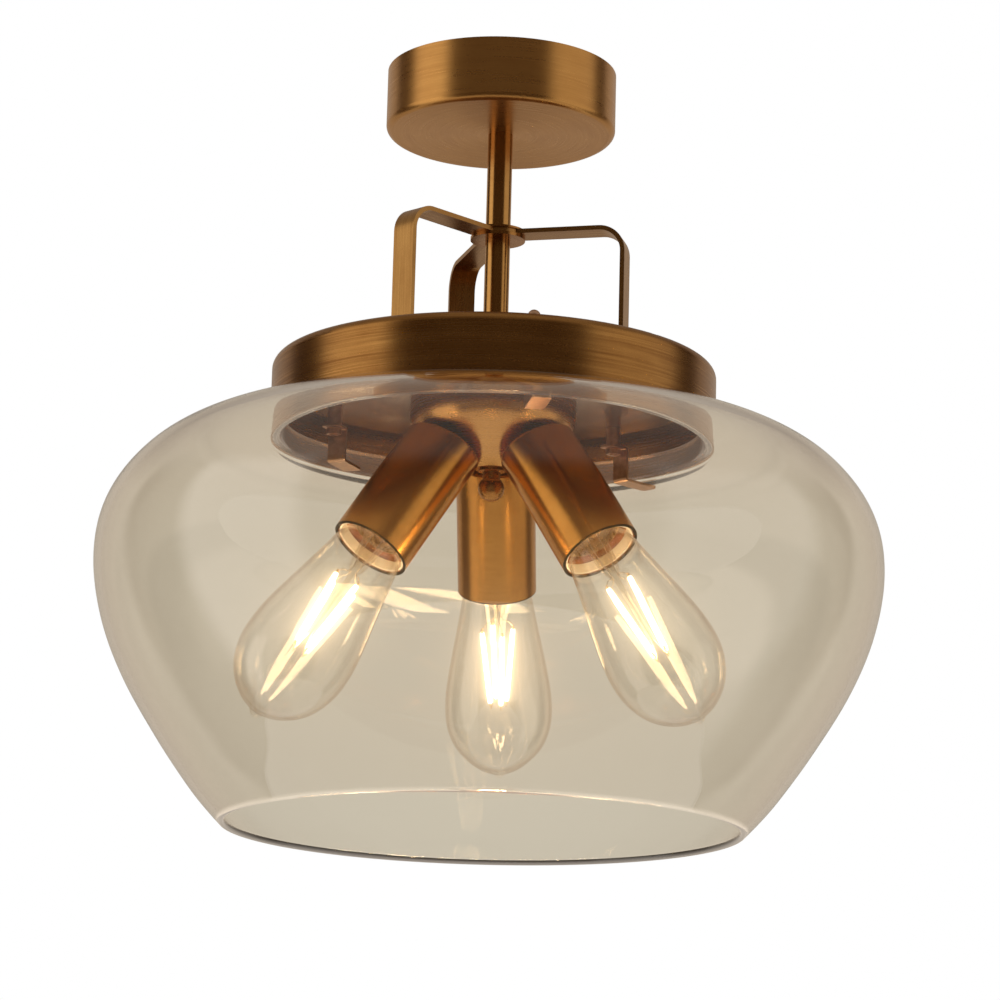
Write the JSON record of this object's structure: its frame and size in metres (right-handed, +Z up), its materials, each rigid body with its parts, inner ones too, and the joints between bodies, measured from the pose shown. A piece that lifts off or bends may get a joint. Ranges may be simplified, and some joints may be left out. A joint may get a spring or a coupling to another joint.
{
  "type": "semi flush ceiling light",
  "caption": "Semi flush ceiling light: round ceiling rose, short stem with flat arms, shallow pan and a wide clear glass bowl shade around angled lamps in metal sleeves.",
  "frame": {"origin": "middle of the ceiling bracket's top face, on the ceiling plane and on the stem's axis", "axes": "+Z up out of the ceiling face, along the stem; the picture looks along +Y from below; +X to its right"},
  "size_m": [0.4036, 0.4036, 0.4017],
  "materials": {
    "antique_brass": "brushed, antiqued brown and lacquered",
    "tray_brass": "dark, dull coppery lacquer",
    "hook_brass": "satin, lacquered",
    "plated_steel": "yellow passivated zinc plate",
    "bare_brass": "bright, turned",
    "terminal_plastic": "matt natural polyamide",
    "holder_porcelain": "glazed white porcelain",
    "lead_sheath": "smooth heat resisting sheath",
    "lead_core": "smooth core insulation",
    "champagne_glass": "clear champagne tint, fire polished rim",
    "bulb_glass": "clear, polished",
    "bulb_cap_metal": "rolled, nickel plated",
    "bulb_black_glass": "gloss black",
    "bulb_mount_glass": "clear, flame worked",
    "light_bar": "phosphor coated, glowing warm white when lit"
  },
  "bodies": {
    "fixture": {"arm_pins": "plated_steel", "ceiling_bracket": "plated_steel", "ceiling_rose": "antique_brass", "centre_nipple": "plated_steel", "centre_nuts": "plated_steel", "earth_screw": "bare_brass", "finial_nut": "antique_brass", "finial_stud": "plated_steel", "hook_cap_nuts": "antique_brass", "hook_nuts": "hook_brass", "hook_rods": "hook_brass", "hook_spacers": "hook_brass", "hub_body": "antique_brass", "hub_coupler": "plated_steel", "lamp_leads": "lead_core", "lamp_sleeve_back": "antique_brass", "lamp_sleeve_left": "antique_brass", "lamp_sleeve_right": "antique_brass", "lampholder_back": "holder_porcelain", "lampholder_contacts": "bare_brass", "lampholder_left": "holder_porcelain", "lampholder_right": "holder_porcelain", "pan": "antique_brass", "rose_nipple": "plated_steel", "rose_nut": "plated_steel", "rose_side_screws": "antique_brass", "rose_washer": "plated_steel", "sleeve_nipples": "plated_steel", "sleeve_nuts": "plated_steel", "sleeve_spacers": "plated_steel", "sleeve_washers": "plated_steel", "spider_bracket": "antique_brass", "spider_plates": "antique_brass", "stem_tube": "antique_brass", "stiffener_tray": "tray_brass", "supply_lead": "lead_sheath", "terminal_block": "terminal_plastic", "terminal_screws": "bare_brass", "thread_shell_back": "bare_brass", "thread_shell_left": "bare_brass", "thread_shell_right": "bare_brass"},
    "bulb_back": {"bulb_glass_back": "bulb_glass", "bulb_cap_back": "bulb_cap_metal", "bulb_base_back": "bulb_black_glass", "bulb_mount_back": "bulb_mount_glass", "bulb_filaments_back": "light_bar"},
    "bulb_left": {"bulb_glass_left": "bulb_glass", "bulb_cap_left": "bulb_cap_metal", "bulb_base_left": "bulb_black_glass", "bulb_mount_left": "bulb_mount_glass", "bulb_filaments_left": "light_bar"},
    "bulb_right": {"bulb_glass_right": "bulb_glass", "bulb_cap_right": "bulb_cap_metal", "bulb_base_right": "bulb_black_glass", "bulb_mount_right": "bulb_mount_glass", "bulb_filaments_right": "light_bar"},
    "hook_front": {"shade_hook_front": "hook_brass"},
    "hook_right": {"shade_hook_right": "hook_brass"},
    "hook_left": {"shade_hook_left": "hook_brass"},
    "glass_shade": {"glass_shade": "champagne_glass"}
  },
  "joints": [
    {"name": "shade_turn", "type": "hinge", "parent": "fixture", "child": "glass_shade", "pos_m": [0, 0, 0], "axis": [0, 0, 1], "continuous": true},
    {"name": "hook_front_swivel", "type": "hinge", "parent": "fixture", "child": "hook_front", "pos_m": [0.01905, -0.08591, -0.19], "axis": [0, 0, 1], "range_deg": [-106, 113]},
    {"name": "hook_right_swivel", "type": "hinge", "parent": "fixture", "child": "hook_right", "pos_m": [0.06488, 0.05945, -0.19], "axis": [0, 0, 1], "range_deg": [-111, 108]},
    {"name": "hook_left_swivel", "type": "hinge", "parent": "fixture", "child": "hook_left", "pos_m": [-0.08393, 0.02646, -0.19], "axis": [0, 0, 1], "range_deg": [-17, 203]},
    {"name": "bulb_back_unscrew", "type": "slide", "parent": "fixture", "child": "bulb_back", "axis": [0.0373, 0.5478, -0.8358], "range_m": [0, 0.016]},
    {"name": "bulb_left_unscrew", "type": "slide", "parent": "fixture", "child": "bulb_left", "axis": [-0.493, -0.2415, -0.8358], "range_m": [0, 0.016]},
    {"name": "bulb_right_unscrew", "type": "slide", "parent": "fixture", "child": "bulb_right", "axis": [0.4557, -0.3062, -0.8358], "range_m": [0, 0.016]}
  ]
}
